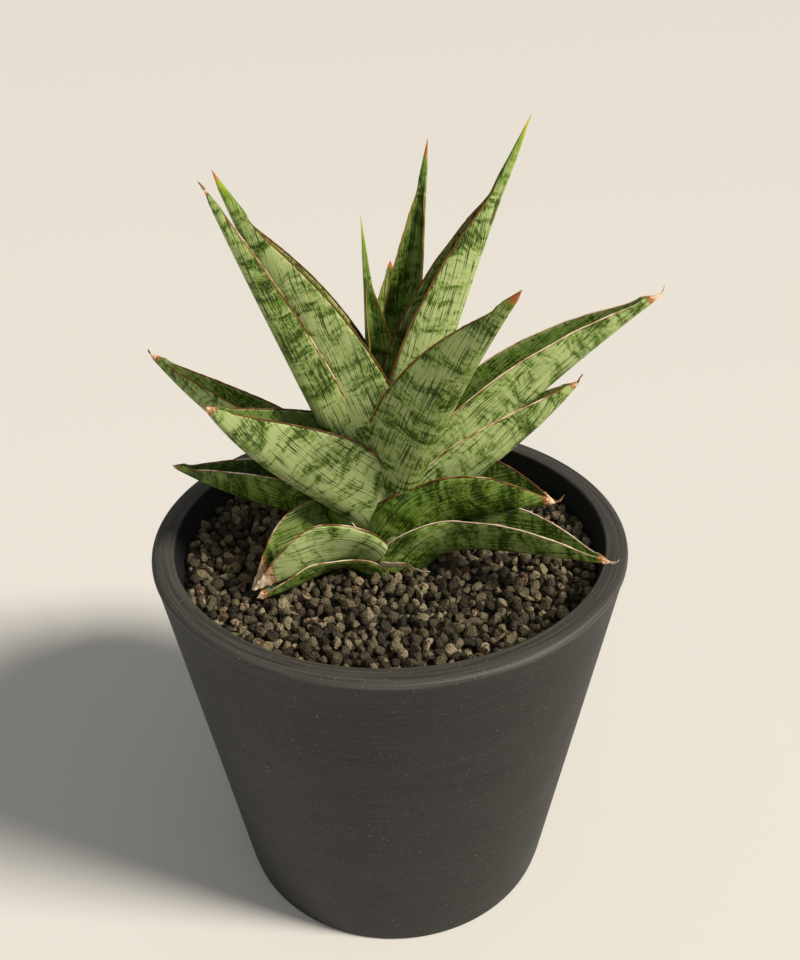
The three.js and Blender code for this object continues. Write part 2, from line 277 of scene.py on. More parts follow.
# ---------------------------------------------------------------- leaf shape, in millimetres
@dataclass
class Leaf:
    """One leaf: where its tip is, how it is folded, and how it has aged."""

    name: str  # of its node in the frame, less "leaf_"
    toward: float  # compass direction of the tip, degrees from +X, anticlockwise from above
    reach: float  # the tip's distance from the plant's axis
    height: float  # the tip's height above the grit
    half: float  # widest half-width
    fold: float  # how steeply each half rises from the keel, degrees
    bow: float = 0.0  # arches the keel up (+) or lets it hang (-), as a share of the length
    awl: float = 0.03  # share of the length taken by the awl-shaped tip
    wrap: float = 2.4  # half-width of the sheath, as a multiple of its distance from the axis
    thread: float = 0.0  # length of the dried thread that the tip ends in
    shade: float = 0.3  # 0 is pale and bloomy, 1 is deep green: partly the leaf's own deeper green, partly painted shade on a leaf in shadow; below 0, painted light
    dry: float = 0.0  # length of the dried tip, 0 where the tip is alive
    ember: float = 0.0  # length of the orange-red end of a living tip
    worn: float = 0.4  # 0 has a fresh golden margin, 1 a dried, papery one

    @property
    def node(self):
        """The leaf's node in the frame, which also names its pieces."""
        return "leaf_" + self.name


LEAVES = (
    Leaf("spear", 122, 12, 107, 10, 60, awl=0.2, shade=0.35, ember=1, worn=0.05),
    Leaf("back_tall", 66, 32, 123, 12, 60, awl=0.1, shade=0.5, ember=5, worn=0.0),
    Leaf("right_tall", 14, 41, 133, 18, 84, 0.04, awl=0.16, shade=0.1, ember=1, worn=0.2),
    Leaf("left_tall", 192, 44, 124, 23, 72, awl=0.12, shade=0.25, ember=3, worn=0.3),
    Leaf("front_upright", 311, 50, 101, 20, 66, 0.06, awl=0.08, shade=0.5, ember=5, worn=0.15),
    Leaf("back_mid", 88, 54, 80, 17, 65, awl=0.04, shade=0.2, ember=3, worn=0.3),
    Leaf("left_tall_outer", 199, 47, 121, 11, 68, shade=0.5, dry=2, thread=2, worn=0.7),
    Leaf("right_long", 6, 80, 83, 20, 74, 0.07, awl=0.05, wrap=1.1, shade=0.2, dry=4, thread=3, worn=0.85),
    Leaf("front_left_broad", 199, 53, 62, 26, 78, -0.1, wrap=1.5, shade=0.1, dry=2, thread=1.5, worn=0.5),
    Leaf("right_outer", 4, 57, 58, 18, 76, -0.05, shade=0.2, dry=2, thread=3, worn=0.75),
    Leaf("left_mid", 160, 79, 60, 17, 76, -0.08, awl=0.04, shade=0.4, dry=3, thread=1.5, worn=0.5),
    Leaf("back_low_left", 105, 52, 30, 16, 70, -0.05, awl=0.04, shade=0.6, dry=4, worn=0.7),
    Leaf("front_right_upper", 348, 51, 25, 21, 74, 0.12, wrap=2.7, shade=1.3, dry=3, thread=4, worn=0.55),
    Leaf("back_low_right", 62, 58, 30, 16, 70, -0.05, awl=0.04, shade=0.6, dry=4, worn=0.7),
    Leaf("left_low", 166, 72, 25, 16, 73, -0.04, awl=0.05, wrap=1.4, shade=1.4, dry=2, worn=0.8),
    Leaf("front_left_low", 207, 47, 3, 20, 78, 0.06, wrap=1.35, shade=-0.3, dry=7, worn=0.65),
    Leaf("front_right_low", 336, 70, 15, 14, 68, 0.08, awl=0.06, shade=0.85, dry=3, thread=3, worn=0.9),
    Leaf("front_left_lowest", 208, 46, 0, 10, 60, -0.02, shade=1.0, dry=3, worn=0.8),
)

RISE_MM = 15.0  # how far the sheath at the foot steers upwards before the blade leans out
UPRIGHT = 0.75  # how upright the sheath is: 0 follows the blade, 1 is vertical
FLATTEN = 0.12  # flattens the sheath's sides: 0 is a round sheath
AWL = 0.16  # half-width of the awl where it starts, as a share of the blade's
FLARE = 1.5  # the most that a sheath may be wider than its blade
SHEATH_MM = 19.0  # length over which the round sheath opens into a folded blade
WIDEST = 0.36  # where the blade is widest, as a share of the length
THIN_TIP = 0.55  # share of its thickness that the blade has lost at the tip
THIN_EDGE = 0.75  # share that it has lost at the margin
THICKEST = 0.9  # the most that a leaf is thick, as a share of its half-width
NARROWEST = 0.05  # the least that a folded skin spreads, as a share of the middle surface's spread
WAVE_MM, WAVE_LENGTH_MM = 0.35, 7.0  # the margin's gentle waves
CRUMPLE_MM, CRUMPLE_LENGTH_MM = 0.45, 1.3  # the dried end's wrinkles
RING_START_MM, RING_STEP_MM = 3.2, 0.62  # keel's distance from the axis: youngest leaf, each older one
TOP_START_MM, TOP_STEP_MM = 15.0, 0.95  # height of the foot above the grit: youngest, each older one
STATIONS = 110  # sections along a leaf
ACROSS = 16  # points from keel to margin, on each side and each face


def half_width(leaf, ring, u):
    """Half-width at a share u of the length: the sheath, the blade and its awl-shaped tip."""
    base = min(leaf.wrap * ring, FLARE * leaf.half)
    if u < WIDEST:
        return base + (leaf.half - base) * smooth(u / WIDEST)
    x = min(1.0, (u - WIDEST) / (1 - leaf.awl - WIDEST))
    spike = AWL * min(1.0, (1 - u) / max(leaf.awl, 0.05))
    return leaf.half * ((1 - x**1.75) ** 2.55 + spike**3) ** (1 / 3)


def half_section(width, ring, fold, opened):
    """The middle surface from keel to margin in a section's plane: a, b and angle of each point."""
    steps = 3
    v = (np.arange(ACROSS * steps) + 0.5) / (ACROSS * steps)
    rounded = (v + FLATTEN * np.sin(2 * math.pi * v)) * width / ring
    folded = fold * (0.25 + 0.75 * smooth(v / 0.35)) + math.radians(14) * (v - 0.4)
    angle = rounded + (folded - rounded) * opened
    step = width / (ACROSS * steps)
    a = np.concatenate([[0.0], np.cumsum(step * np.cos(angle))[steps - 1 :: steps]])
    b = np.concatenate([[0.0], np.cumsum(step * np.sin(angle))[steps - 1 :: steps]])
    return a, b, np.concatenate([[0.0], angle[steps - 1 :: steps]])


def leaf_spine(leaf, ring, drop):
    """Points, tangents and spread directions at the stations, their shares u, and the length."""
    facing = math.radians(leaf.toward)
    out = np.array([math.cos(facing), math.sin(facing), 0.0])
    across = np.array([-out[1], out[0], 0.0])
    up = np.array([0.0, 0.0, 1.0])
    foot = PLANT_MM + out * ring + up * (TOP_START_MM - drop)
    tip = PLANT_MM + out * leaf.reach + up * leaf.height
    chord = np.linalg.norm(tip - foot)
    along = (tip - foot) / chord
    steer = along * (1 - UPRIGHT) + up * UPRIGHT
    first = foot + steer / np.linalg.norm(steer) * min(RISE_MM, chord / 3)
    second = foot + (tip - foot) * 0.55 + np.cross(along, across) * leaf.bow * chord
    t = np.linspace(0, 1, 801)[:, None]
    curve = foot * (1 - t) ** 3 + first * 3 * t * (1 - t) ** 2 + second * 3 * t * t * (1 - t) + tip * t**3
    run = np.concatenate([[0.0], np.cumsum(np.linalg.norm(np.diff(curve, axis=0), axis=1))])
    u = 1 - (1 - np.arange(STATIONS) / STATIONS) ** 1.25
    centre = np.stack([np.interp(u * run[-1], run, curve[:, i]) for i in range(3)], 1)
    slope = np.gradient(curve, axis=0)
    tangent = np.stack([np.interp(u * run[-1], run, slope[:, i]) for i in range(3)], 1)
    tangent /= np.linalg.norm(tangent, axis=1)[:, None]
    wide = across - tangent * (tangent @ across)[:, None]
    wide /= np.linalg.norm(wide, axis=1)[:, None]
    return centre, tangent, wide, u, run[-1], tip


@dataclass
class LeafShape:
    """A leaf's surface: its points, faces and what the material reads at each point."""

    points: np.ndarray
    faces: list
    place: np.ndarray  # per point: across and along, mm
    edge: np.ndarray  # per point: distance from margin, distance from tip, 1 on the inner face
    margins: list  # two lists of (point, along mm)
    heading: np.ndarray  # direction of the keel at the tip


def leaf_shape(leaf, age, thickness_mm):
    """Builds a leaf's closed skin. Each section runs outside from margin to margin, then back inside."""
    ring = RING_START_MM + RING_STEP_MM * age
    centre, tangent, wide, u, run, tip = leaf_spine(leaf, ring, TOP_STEP_MM * age)
    inward = np.cross(tangent, wide)
    points, place, edge = [], [], []
    margins = ([], [])
    v = np.arange(ACROSS + 1) / ACROSS
    outer = [(-1, k) for k in range(ACROSS, 0, -1)] + [(1, k) for k in range(ACROSS + 1)]
    inner = [(1, k) for k in range(ACROSS - 1, 0, -1)] + [(-1, k) for k in range(ACROSS)]
    for i in range(STATIONS):
        opened = smooth(u[i] * run / SHEATH_MM)
        width = half_width(leaf, ring, u[i])
        a, b, angle = half_section(width, ring, math.radians(leaf.fold), opened)
        thick = min(thickness_mm * (1 - THIN_TIP * u[i]), THICKEST * width)
        skin = thick / 2 * (1 - THIN_EDGE * v**1.4)
        skin[-1] = 0.0
        # solid is 1 on the awl, where the channel has filled up; shrivel is 1 on the dried end.
        solid = smooth((u[i] - 1 + leaf.awl + 0.05) / 0.06)
        shrivel = smooth((u[i] - 1 + max(leaf.dry, 0.01) / run) / 0.02) if leaf.dry else 0.0
        for face, chain in ((-1, outer), (1, inner)):
            for side, k in chain:
                along = u[i] * run
                ripple = WAVE_MM * v[k] ** 4 * waver(along / WAVE_LENGTH_MM, side * 3.1, age)
                wrinkle = waver(along / CRUMPLE_LENGTH_MM, side * v[k] * 2, age + 40)
                ripple += shrivel * CRUMPLE_MM * wrinkle
                offset = face * skin[k] + ripple
                spread = max(NARROWEST * a[k], a[k] - offset * math.sin(angle[k]))
                rise = b[k] + offset * math.cos(angle[k])
                if face > 0:
                    rise += solid * max(0.0, b[-1] + 0.3 * (a[-1] - a[k]) - rise)
                point = centre[i] + wide[i] * side * spread + inward[i] * rise
                points.append(point)
                place.append((side * v[k] * width, along))
                edge.append(((1 - v[k]) * width + 3 * solid, (1 - u[i]) * run, float(face > 0)))
                if k == ACROSS and solid < 0.9:
                    margins[0 if side < 0 else 1].append((point, along))
    points.append(tip)
    place.append((0.0, run))
    edge.append((0.0, 0.0, 0.0))
    faces = skin_faces(4 * ACROSS, STATIONS)
    return LeafShape(np.array(points), faces, np.array(place), np.array(edge), margins, tangent[-1])


def skin_faces(sides, stations):
    """Faces of a closed skin over rings of points, with a strip across the foot and a pole at the tip."""
    faces = [(0, sides - 1, 1)]
    for k in range(1, sides // 2 - 1):
        faces.append((k, sides - k, sides - k - 1, k + 1))
    faces.append((sides // 2 - 1, sides // 2 + 1, sides // 2))
    for i in range(stations - 1):
        a = i * sides
        for j in range(sides):
            k = (j + 1) % sides
            faces.append((a + j, a + k, a + sides + k, a + sides + j))
    last = (stations - 1) * sides
    faces += [(last + j, last + (j + 1) % sides, last + sides) for j in range(sides)]
    return faces


# ---------------------------------------------------------------- materials
def finish_material(tree, **surface):
    """Adds the surface shader, with its inputs named in lower case, and joins it to the output."""
    inputs = {}
    for name, value in surface.items():
        inputs[name.replace("_", " ").title().replace("Ior", "IOR")] = value
    shader = node(tree, "ShaderNodeBsdfPrincipled", inputs)
    node(tree, "ShaderNodeOutputMaterial", {"Surface": shader})


def set_stops(ramp, stops):
    """Gives a colour ramp its (position, RGBA) stops and returns it."""
    elements = ramp.color_ramp.elements
    while len(elements) < len(stops):
        elements.new(0.5)
    for element, (position, rgba) in zip(elements, stops):
        element.position = position
        element.color = rgba
    return ramp


def grain(tree, where, across, along, detail, roughness=0.55):
    """Noise with grains of a stated size across and along, in the units of the coordinates."""
    inverse = (1 / across, 1 / along, 1.0)
    sized = node(tree, "ShaderNodeVectorMath", {0: where, 1: inverse}, operation="MULTIPLY")
    inputs = {"Vector": sized, "Scale": 1.0, "Detail": detail, "Roughness": roughness}
    return node(tree, "ShaderNodeTexNoise", inputs)


def weighed(tree, *terms):
    """The sum of (value, weight) terms."""
    total = 0.0
    for value, weight in terms:
        total = node(tree, "ShaderNodeMath", {0: value, 1: weight, 2: total}, operation="MULTIPLY_ADD")
    return total


def layered(tree, ground, *layers):
    """A ground colour with (share, colour) layers laid over it in turn."""
    for share, over in layers:
        ground = node(tree, "ShaderNodeMix", {0: share, 1: ground, 2: over}, data_type="RGBA")
    return ground


def leaf_material(look):
    """Living snake plant leaf, grown with a thin waxy bloom.

    The bloom makes the pale ground matt and greyish. The dark marks are fine lengthwise streaks that
    crowd into uneven cross bands with a fresh green edge, and the skin turns rust brown at the margin.
    Places on the leaf, and so the sizes of its marks, are in millimetres across and along.
    """
    material, tree = new_material("waxy_leaf_grown")
    place = node(tree, "ShaderNodeAttribute", attribute_name="leaf_place").outputs["Vector"]
    edge = node(tree, "ShaderNodeAttribute", attribute_name="leaf_edge").outputs["Vector"]
    kind = node(tree, "ShaderNodeAttribute", attribute_name="leaf_kind").outputs["Vector"]
    awl = node(tree, "ShaderNodeAttribute", attribute_name="leaf_awl").outputs["Fac"]
    from_margin, from_tip, inside = node(tree, "ShaderNodeSeparateXYZ", {0: edge}).outputs
    ember, shade, dry = node(tree, "ShaderNodeSeparateXYZ", {0: kind}).outputs

    # The marks wander with a swell about 11 mm long, mostly lengthwise.
    swell = node(tree, "ShaderNodeTexNoise", {"Vector": place, "Scale": 0.09, "Detail": 1.0})
    inputs = {0: swell.outputs["Color"], 1: (0.5, 0.5, 0.5)}
    centred = node(tree, "ShaderNodeVectorMath", inputs, operation="SUBTRACT")
    pushed = node(tree, "ShaderNodeVectorMath", {0: centred, 1: (1.5, 9.0, 0.0)}, operation="MULTIPLY")
    where = node(tree, "ShaderNodeVectorMath", {0: place, 1: pushed}, operation="ADD")
    bands = grain(tree, where, 15.0, 5.5, 3.0, 0.6)
    weave = grain(tree, where, 6.0, 1.5, 3.0, 0.6)
    lines = grain(tree, where, 0.36, 13.0, 1.0)
    dashes = grain(tree, where, 0.38, 1.7, 2.0, 0.6)
    flecks = grain(tree, where, 0.6, 0.7, 3.0, 0.6)
    mottle = grain(tree, where, 2.2, 2.6, 4.0, 0.65)
    veins = grain(tree, where, 0.35, 25.0, 1.0)

    # The shade value crowds more dark marks onto a leaf in shadow, which paints shade, and thins them on a
    # brightly lit leaf, which paints light.
    crowd = weighed(tree, (bands, 0.95), (weave, 0.6), (shade, 0.1), (inside, 0.06))
    marks = weighed(tree, (dashes, 0.75), (lines, 0.35), (flecks, 0.35), (crowd, 1.0))
    hairs = weighed(tree, (lines, 1.0), (crowd, 0.22))
    fringe = weighed(tree, (crowd, 1.0), (mottle, 0.5), (dashes, 0.35))
    broad = node(tree, "ShaderNodeMapRange", {0: marks, 1: 1.55, 2: 1.74, 4: 0.95})
    thin = node(tree, "ShaderNodeMapRange", {0: hairs, 1: 0.725, 2: 0.79, 4: 0.85})
    dark = node(tree, "ShaderNodeMath", {0: broad, 1: thin}, operation="MAXIMUM")
    halo = node(tree, "ShaderNodeMapRange", {0: fringe, 1: 1.16, 2: 1.36, 4: 0.9})
    veined = node(tree, "ShaderNodeMapRange", {0: veins, 1: 0.75, 2: 0.3})

    # A living tip runs from green through yellow to orange.
    alive = node(tree, "ShaderNodeMath", {0: dry, 1: 0.5}, operation="LESS_THAN")
    awl_share = node(tree, "ShaderNodeMath", {0: from_tip, 1: awl}, operation="DIVIDE")
    near_awl = node(tree, "ShaderNodeMapRange", {0: awl_share, 1: 1.1, 2: 0.3, 4: 0.85})
    awled = node(tree, "ShaderNodeMath", {0: near_awl, 1: alive}, operation="MULTIPLY")
    awl_stops = [(0.15, linear("#C9BC2C")), (0.4, tuple(look.awl)), (0.9, linear("#6A8F26"))]
    awl_tint = set_stops(node(tree, "ShaderNodeValToRGB", {"Fac": awl_share}), awl_stops)
    past_ember = node(tree, "ShaderNodeMath", {0: from_tip, 1: ember}, operation="SUBTRACT")
    near_end = node(tree, "ShaderNodeMapRange", {0: past_ember, 1: 1.0, 2: -1.5})
    glowing = node(tree, "ShaderNodeMath", {0: near_end, 1: alive}, operation="MULTIPLY")

    # A dried tip has a ragged brown boundary and pales to paper.
    past_dry = node(tree, "ShaderNodeMath", {0: from_tip, 1: dry}, operation="SUBTRACT")
    ragged = weighed(tree, (mottle, 3.0), (past_dry, 1.0))
    husk_stops = [
        (0.18, linear("#6E3E1C")),
        (0.31, linear("#A4693A")),
        (0.42, linear("#D8B48C")),
        (0.65, tuple(look.paper)),
    ]
    bleached = weighed(tree, (ragged, -0.12), (flecks, 0.9))
    husk = set_stops(node(tree, "ShaderNodeValToRGB", {"Fac": bleached}), husk_stops)
    dried = node(tree, "ShaderNodeMath", {0: 1.0, 1: alive}, operation="SUBTRACT")
    withered = node(tree, "ShaderNodeMapRange", {0: ragged, 1: 2.4, 2: 1.4})
    dead = node(tree, "ShaderNodeMath", {0: withered, 1: dried}, operation="MULTIPLY")
    bordered = node(tree, "ShaderNodeMapRange", {0: from_margin, 1: 0.5, 2: 0.12, 4: 0.9})
    rim = node(tree, "ShaderNodeMath", {0: bordered, 1: dead}, operation="SUBTRACT", use_clamp=True)

    # Painted shade, partly the leaf's own deeper green: the shade value pulls the pale ground towards a
    # darker green.
    deeper_green_and_shade = (weighed(tree, (shade, 0.6)), linear("#7F9438"))
    pale = layered(tree, tuple(look.pale), deeper_green_and_shade, (inside, tuple(look.inner)))
    skin = layered(
        tree,
        pale,
        (veined, layered(tree, pale, (0.3, tuple(look.fresh)))),
        (halo, tuple(look.fresh)),
        # Painted shade: the shade value also deepens the dark marks.
        (dark, layered(tree, tuple(look.dark), (weighed(tree, (shade, 0.5)), linear("#1E2F05")))),
        (awled, awl_tint),
        (glowing, tuple(look.ember)),
        (dead, husk),
        (rim, tuple(look.rust)),
    )
    relief = weighed(tree, (veins, 0.8), (dashes, 0.3), (weave, 0.6))
    bump = node(tree, "ShaderNodeBump", {"Height": relief, "Distance": 0.16 * MM, "Strength": 0.7})
    finish_material(
        tree,
        base_color=skin,
        roughness=weighed(tree, (halo, -0.1), (dead, 0.35), (0.54, 1.0)),
        normal=bump,
        ior=1.45,
        specular_ior_level=0.3,
        subsurface_weight=0.06,
        subsurface_radius=(0.6, 1.0, 0.3),
        subsurface_scale=0.8 * MM,
    )
    return material


def margin_material(look):
    """Horny leaf margin, grown hard and dried at its outer edge: rust brown with pale papery stretches."""
    material, tree = new_material("horny_margin_grown")
    where = node(tree, "ShaderNodeTexCoord").outputs["Object"]
    patches = node(tree, "ShaderNodeTexNoise", {"Vector": where, "Scale": 1 / (6 * MM), "Detail": 4.0})
    age = node(tree, "ShaderNodeAttribute", attribute_name="margin_age").outputs["Fac"]
    stops = [
        (0.36, tuple(look.gold)),
        (0.48, tuple(look.rust)),
        (0.7, linear("#5A3212")),
        (0.8, linear("#94693F")),
        (0.9, tuple(look.paper)),
    ]
    dryness = weighed(tree, (patches, 0.7), (age, 0.65))
    tint = set_stops(node(tree, "ShaderNodeValToRGB", {"Fac": dryness}), stops)
    flakes = node(tree, "ShaderNodeTexNoise", {"Vector": where, "Scale": 1 / (0.5 * MM), "Detail": 3.0})
    bump = node(tree, "ShaderNodeBump", {"Height": flakes, "Distance": 0.1 * MM, "Strength": 0.6})
    finish_material(tree, base_color=tint, roughness=0.6, ior=1.5, specular_ior_level=0.3, normal=bump)
    return material


def pot_material(name, body_colour, rim_colour, rough, turned):
    """Charcoal composite, cast and then turned and rubbed.

    Turning leaves fine rings on the rim and level lines on the wall; rubbing gives a satin sheen and
    a few white scuffs. The paler band at the top of the rim is partly wear and partly a painted
    highlight where the light catches the rim.
    """
    material, tree = new_material(name)
    where = node(tree, "ShaderNodeTexCoord").outputs["Object"]
    x, y, z = node(tree, "ShaderNodeSeparateXYZ", {0: where}).outputs
    level = node(tree, "ShaderNodeCombineXYZ", {"X": x, "Y": y})
    radius = node(tree, "ShaderNodeVectorMath", {0: level}, operation="LENGTH")
    around = node(tree, "ShaderNodeMath", {0: y, 1: x}, operation="ARCTAN2")
    ringed = node(tree, "ShaderNodeCombineXYZ", {"X": radius, "Y": weighed(tree, (around, 0.0012)), "Z": z})
    rings = node(tree, "ShaderNodeTexNoise", {"Vector": ringed, "Scale": 1 / (0.55 * MM), "Detail": 2.0})
    clouds = node(tree, "ShaderNodeTexNoise", {"Vector": where, "Scale": 1 / (14 * MM), "Detail": 5.0})
    dust = node(tree, "ShaderNodeTexNoise", {"Vector": where, "Scale": 1 / (0.7 * MM), "Detail": 3.0})
    inputs = {"Vector": where, "Scale": 1 / (2.2 * MM), "Detail": 6.0, "Roughness": 0.7}
    scuffs = node(tree, "ShaderNodeTexNoise", inputs)
    # Painted highlight, partly wear: the top 2.5 mm of the rim takes the paler rim colour.
    rubbed_and_lit = node(tree, "ShaderNodeMapRange", {0: z, 1: POT_HIGH.z - 2.5 * MM, 2: POT_HIGH.z - 1.2 * MM})
    lined = node(tree, "ShaderNodeMapRange", {0: rings, 1: 0.3, 2: 0.7})
    scuffed = node(tree, "ShaderNodeMapRange", {0: scuffs, 1: 0.6, 2: 0.72, 4: 0.3 * turned})
    dusty = node(tree, "ShaderNodeMapRange", {0: dust, 1: 0.68, 2: 0.74, 4: 0.5 * turned})
    dim, lit = (tuple(c * tone for c in body_colour[:3]) + (1.0,) for tone in (0.72, 1.3))
    body = layered(tree, dim, (clouds, lit), (rubbed_and_lit, rim_colour))
    inputs = {0: turned * 0.5, 1: body, 2: lined}
    body = node(tree, "ShaderNodeMix", inputs, data_type="RGBA", blend_type="OVERLAY")
    body = layered(tree, body, (scuffed, linear("#5A5750")), (dusty, linear("#9C9A95")))
    height = weighed(tree, (rings, 0.6), (dust, 1.0))
    bump = node(tree, "ShaderNodeBump", {"Height": height, "Distance": 0.08 * MM, "Strength": 0.6})
    satin = weighed(tree, (clouds, 0.16), (scuffs, 0.16), (rough - 0.16, 1.0))
    finish_material(tree, base_color=body, roughness=satin, ior=1.5, specular_ior_level=0.4, normal=bump)
    return material


def grit_material(look):
    """Crushed lava, riddled and dusty: porous, matt, grey-brown with a few oxidised red grains."""
    material, tree = new_material("lava_grit_crushed")
    where = node(tree, "ShaderNodeTexCoord").outputs["Object"]
    tint = node(tree, "ShaderNodeAttribute", attribute_name="grain_tint").outputs["Fac"]
    mineral = node(tree, "ShaderNodeTexNoise", {"Vector": where, "Scale": 1 / (1.4 * MM), "Detail": 5.0})
    pores = node(tree, "ShaderNodeTexVoronoi", {"Vector": where, "Scale": 1 / (0.6 * MM)}, feature="F1")
    fine = node(tree, "ShaderNodeTexNoise", {"Vector": where, "Scale": 1 / (0.6 * MM), "Detail": 4.0})
    stops = [
        (0.0, tuple(look.dark)),
        (0.4, linear("#4E4535")),
        (0.75, linear("#766B52")),
        (0.93, tuple(look.light)),
        (0.98, tuple(look.red)),
    ]
    weathering = weighed(tree, (mineral, 0.6), (tint, 1.0), (-0.3, 1.0))
    colours = set_stops(node(tree, "ShaderNodeValToRGB", {"Fac": weathering}), stops)
    # Painted shade in the pores: the grain colour is darkened round each Voronoi point.
    pore_shade = node(tree, "ShaderNodeMapRange", {0: pores, 1: 0.0, 2: 0.4})
    inputs = {0: 0.8, 1: colours, 2: pore_shade}
    pore_shaded_colours = node(tree, "ShaderNodeMix", inputs, data_type="RGBA", blend_type="MULTIPLY")
    relief = weighed(tree, (pores, 1.0), (fine, 1.4))
    bump = node(tree, "ShaderNodeBump", {"Height": relief, "Distance": 0.35 * MM})
    finish_material(tree, base_color=pore_shaded_colours, roughness=0.9, ior=1.5, specular_ior_level=0.25, normal=bump)
    return material


def plain_material(name, hex_a, hex_b, rough, grain_mm, bump_mm):
    """Two tones mixed by an even grain, with a matching bump."""
    material, tree = new_material(name)
    where = node(tree, "ShaderNodeTexCoord").outputs["Object"]
    inputs = {"Vector": where, "Scale": 1 / (grain_mm * MM), "Detail": 5.0}
    grains = node(tree, "ShaderNodeTexNoise", inputs)
    stops = [(0.35, linear(hex_a)), (0.65, linear(hex_b))]
    tint = set_stops(node(tree, "ShaderNodeValToRGB", {"Fac": grains}), stops)
    bump = node(tree, "ShaderNodeBump", {"Height": grains, "Distance": bump_mm * MM, "Strength": 0.7})
    finish_material(tree, base_color=tint, roughness=rough, ior=1.45, normal=bump)
    return material


# ---------------------------------------------------------------- pot
def arc(centre, radius, start, end, count):
    """Points of an arc in (radius, height), angles in degrees."""
    angles = np.radians(np.linspace(start, end, count))
    return [(centre[0] + radius * math.cos(a), centre[1] + radius * math.sin(a)) for a in angles]


def pot_profile(pot):
    """Half-section of the pot from the middle of the underside round to the middle of the floor."""
    foot, inside, corner = 0.0012, 0.0007, 0.006  # roundings: underside, rim's inner edge, floor

    def outer(z):
        return pot.foot_radius + (pot.rim_radius - pot.foot_radius) * z / pot.height

    def inner(z):
        return outer(z) - pot.wall

    profile = [(0.0, 0.0), (pot.drain_circle, 0.0)]
    profile += arc((pot.foot_radius - foot, foot), foot, -90, 0, 5)
    profile += [(outer(z), z) for z in np.linspace(0.004, pot.height - 1.6 * pot.edge, 12)]
    profile += arc((outer(pot.height) - pot.edge, pot.height - pot.edge), pot.edge, 0, 90, 9)
    profile += arc((inner(pot.height) + inside, pot.height - inside), inside, 90, 180, 5)
    profile += [(inner(z), z) for z in np.linspace(pot.height - 0.002, pot.floor + corner, 10)]
    profile += arc((inner(pot.floor) - corner, pot.floor + corner), corner, 0, -90, 6)
    profile += [(pot.drain_circle, pot.floor), (0.0, pot.floor)]
    return profile


def lathe(name, profile, segments):
    """A mesh turned round the Z axis from a profile whose ends lie on the axis."""
    points, faces = [], []
    rings = profile[1:-1]
    for r, z in rings:
        for j in range(segments):
            angle = 2 * math.pi * j / segments
            points.append((r * math.cos(angle), r * math.sin(angle), z))
    low, high = len(points), len(points) + 1
    points += [(0.0, 0.0, profile[0][1]), (0.0, 0.0, profile[-1][1])]
    for j in range(segments):
        k = (j + 1) % segments
        faces.append((low, k, j))
        for i in range(len(rings) - 1):
            a, b = i * segments, (i + 1) * segments
            faces.append((a + j, a + k, b + k, b + j))
        last = (len(rings) - 1) * segments
        faces.append((last + j, last + k, high))
    mesh = bpy.data.meshes.new(name)
    mesh.from_pydata(points, [], faces)
    return mesh


def drill(piece, places, radius, depth):
    """Cuts upright round holes through a piece."""
    for x, y in places:
        profile = [(0.0, -depth), (radius, -depth), (radius, depth), (0.0, depth)]
        cutter = add_object("drill", lathe("drill", profile, segments=48))
        cutter.data.transform(Matrix.Translation((x, y, 0.0)))
        modifier = piece.modifiers.new("hole", "BOOLEAN")
        modifier.operation = "DIFFERENCE"
        modifier.solver = "EXACT"
        modifier.object = cutter
        apply_modifiers(piece)
        discard(cutter)


class SNAKEPLANT_OT_pot(Operator):
    """Build the pot: a turned, tapered wall with a rounded rim and four drain holes"""

    bl_idname = "snakeplant.pot"
    bl_label = "Pot"

    def execute(self, context):
        """Make the pot and replace its plain solid."""
        pot = context.scene.snakeplant_pot
        mesh = lathe("pot_turned", pot_profile(pot), segments=240)
        outside = pot_material("charcoal_composite_turned", tuple(pot.outside), tuple(pot.rubbed_and_lit), 0.6, 1.0)
        # The inside material: the wall's own darker tone with painted shade of the pot's inside.
        inside = pot_material("charcoal_composite_cast", tuple(pot.inside), tuple(pot.inside), 0.75, 0.2)
        piece = add_object("pot_turned", mesh, outside)
        mesh.materials.append(inside)
        turn = [math.radians(90 * i + 45) for i in range(4)]
        places = [(pot.drain_circle * math.cos(a), pot.drain_circle * math.sin(a)) for a in turn]
        drill(piece, places, pot.drain_radius, depth=0.03)
        slope = (pot.rim_radius - pot.foot_radius) / pot.height
        # Inner wall faces above the floor take the inside material, which carries painted shade.
        for face in piece.data.polygons:
            centre = face.center
            radius = math.hypot(centre.x, centre.y)
            middle = pot.foot_radius + slope * centre.z - pot.wall / 2
            above_floor = pot.floor / 2 < centre.z < pot.height - MM
            face.material_index = int(above_floor and radius < middle - MM)
        shade_smooth(piece.data, 35)
        settle(piece, "pot", "pot")
        return {"FINISHED"}


# ---------------------------------------------------------------- leaves
def leaf_mesh(leaf, shape, age):
    """A leaf's mesh, with what its material reads stored at every point."""
    mesh = bpy.data.meshes.new(leaf.node + "_blade")
    mesh.from_pydata(shape.points * MM, [], shape.faces)
    count = len(shape.points)
    place = np.column_stack([shape.place, np.full(count, 37.0 * age)])
    # leaf_kind carries the ember length, the shade value (own deeper green and painted shade) and the dried
    # length.
    kind = np.tile([leaf.ember, leaf.shade, leaf.dry], (count, 1))
    for name, values in (("leaf_place", place), ("leaf_edge", shape.edge), ("leaf_kind", kind)):
        attribute = mesh.attributes.new(name, "FLOAT_VECTOR", "POINT")
        attribute.data.foreach_set("vector", values.astype(np.float32).ravel())
    awl = mesh.attributes.new("leaf_awl", "FLOAT", "POINT")
    awl.data.foreach_set("value", [leaf.awl * shape.edge[0][1]] * count)
    shade_smooth(mesh)
    return mesh


